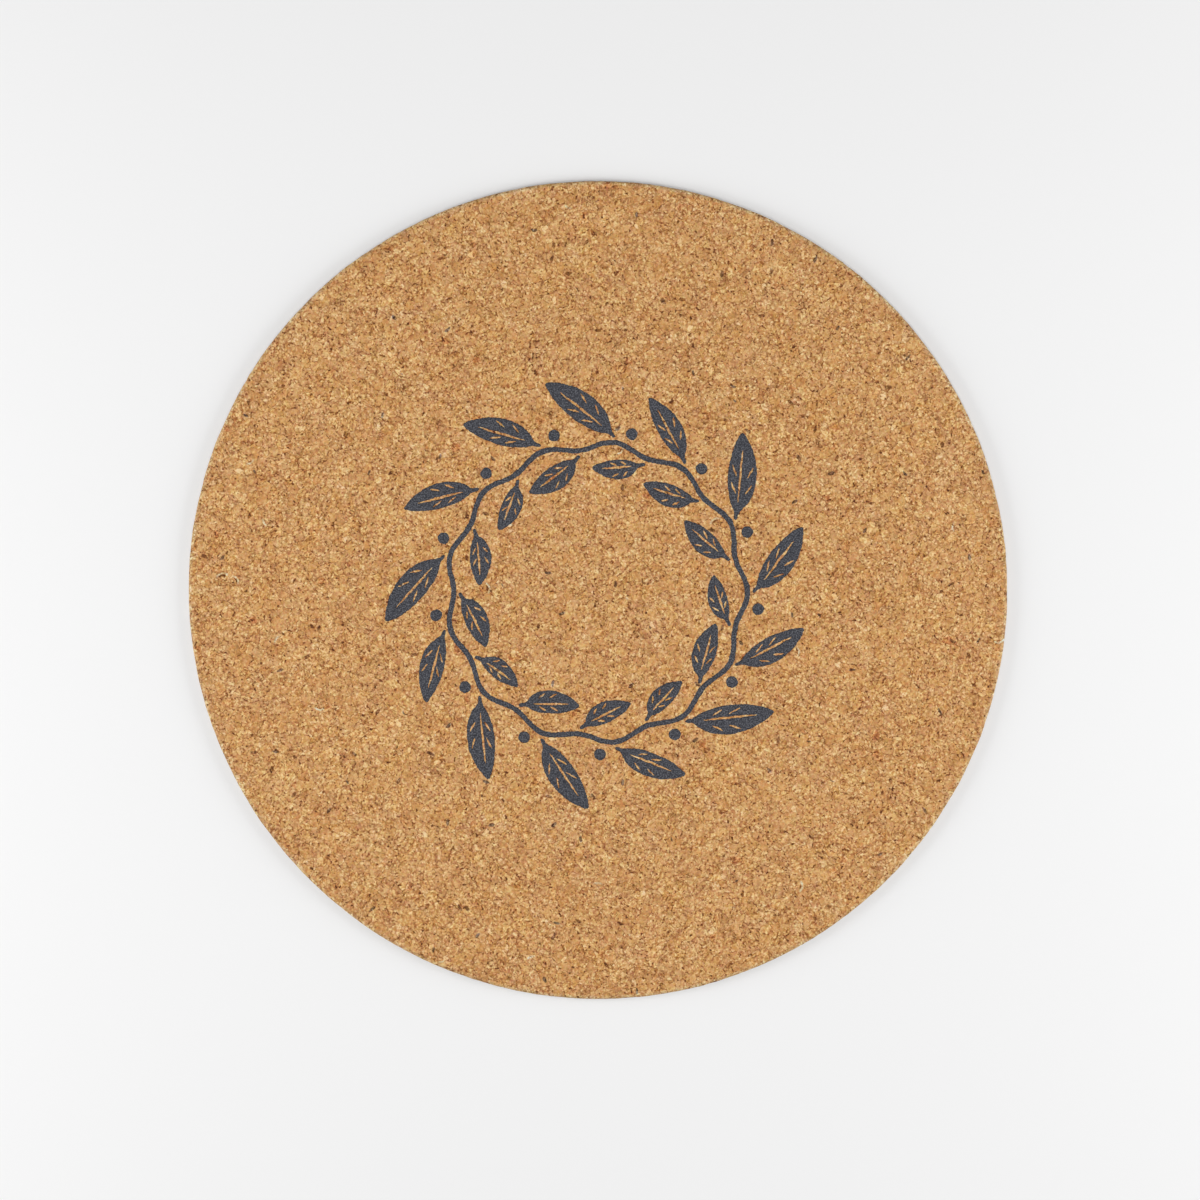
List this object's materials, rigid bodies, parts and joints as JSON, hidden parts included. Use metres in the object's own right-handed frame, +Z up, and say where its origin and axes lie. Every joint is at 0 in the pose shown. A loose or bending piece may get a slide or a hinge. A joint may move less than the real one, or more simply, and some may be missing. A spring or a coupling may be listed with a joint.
{
  "type": "cork placemat",
  "caption": "Round placemat: a flat disc of pressed cork granules with rounded edges and a leafy wreath printed in dark ink on its top, laid on a table under a plate.",
  "frame": {"origin": "centre of the disc's underside, which lies on the table", "axes": "+Z up out of the printed face, +Y away from the person who sits at the mat, +X to that person's right"},
  "size_m": [0.29, 0.29, 0.0041],
  "materials": {
    "cork": "pressed cork granules, sealed matt",
    "ink": "matt screen-printed ink"
  },
  "bodies": {
    "root": {"cork_disc": "cork", "printed_berry_01": "ink", "printed_berry_02": "ink", "printed_berry_03": "ink", "printed_berry_04": "ink", "printed_berry_05": "ink", "printed_berry_06": "ink", "printed_berry_07": "ink", "printed_berry_08": "ink", "printed_berry_09": "ink", "printed_berry_10": "ink", "printed_berry_11": "ink", "printed_berry_12": "ink", "printed_berry_13": "ink", "printed_inner_leaf_01": "ink", "printed_inner_leaf_02": "ink", "printed_inner_leaf_03": "ink", "printed_inner_leaf_04": "ink", "printed_inner_leaf_05": "ink", "printed_inner_leaf_06": "ink", "printed_inner_leaf_07": "ink", "printed_inner_leaf_08": "ink", "printed_inner_leaf_09": "ink", "printed_inner_leaf_10": "ink", "printed_inner_leaf_11": "ink", "printed_inner_leaf_12": "ink", "printed_inner_leaf_13": "ink", "printed_outer_leaf_01": "ink", "printed_outer_leaf_02": "ink", "printed_outer_leaf_03": "ink", "printed_outer_leaf_04": "ink", "printed_outer_leaf_05": "ink", "printed_outer_leaf_06": "ink", "printed_outer_leaf_07": "ink", "printed_outer_leaf_08": "ink", "printed_outer_leaf_09": "ink", "printed_outer_leaf_10": "ink", "printed_outer_leaf_11": "ink", "printed_outer_leaf_12": "ink", "printed_outer_leaf_13": "ink", "printed_stem": "ink"}
  },
  "joints": []
}
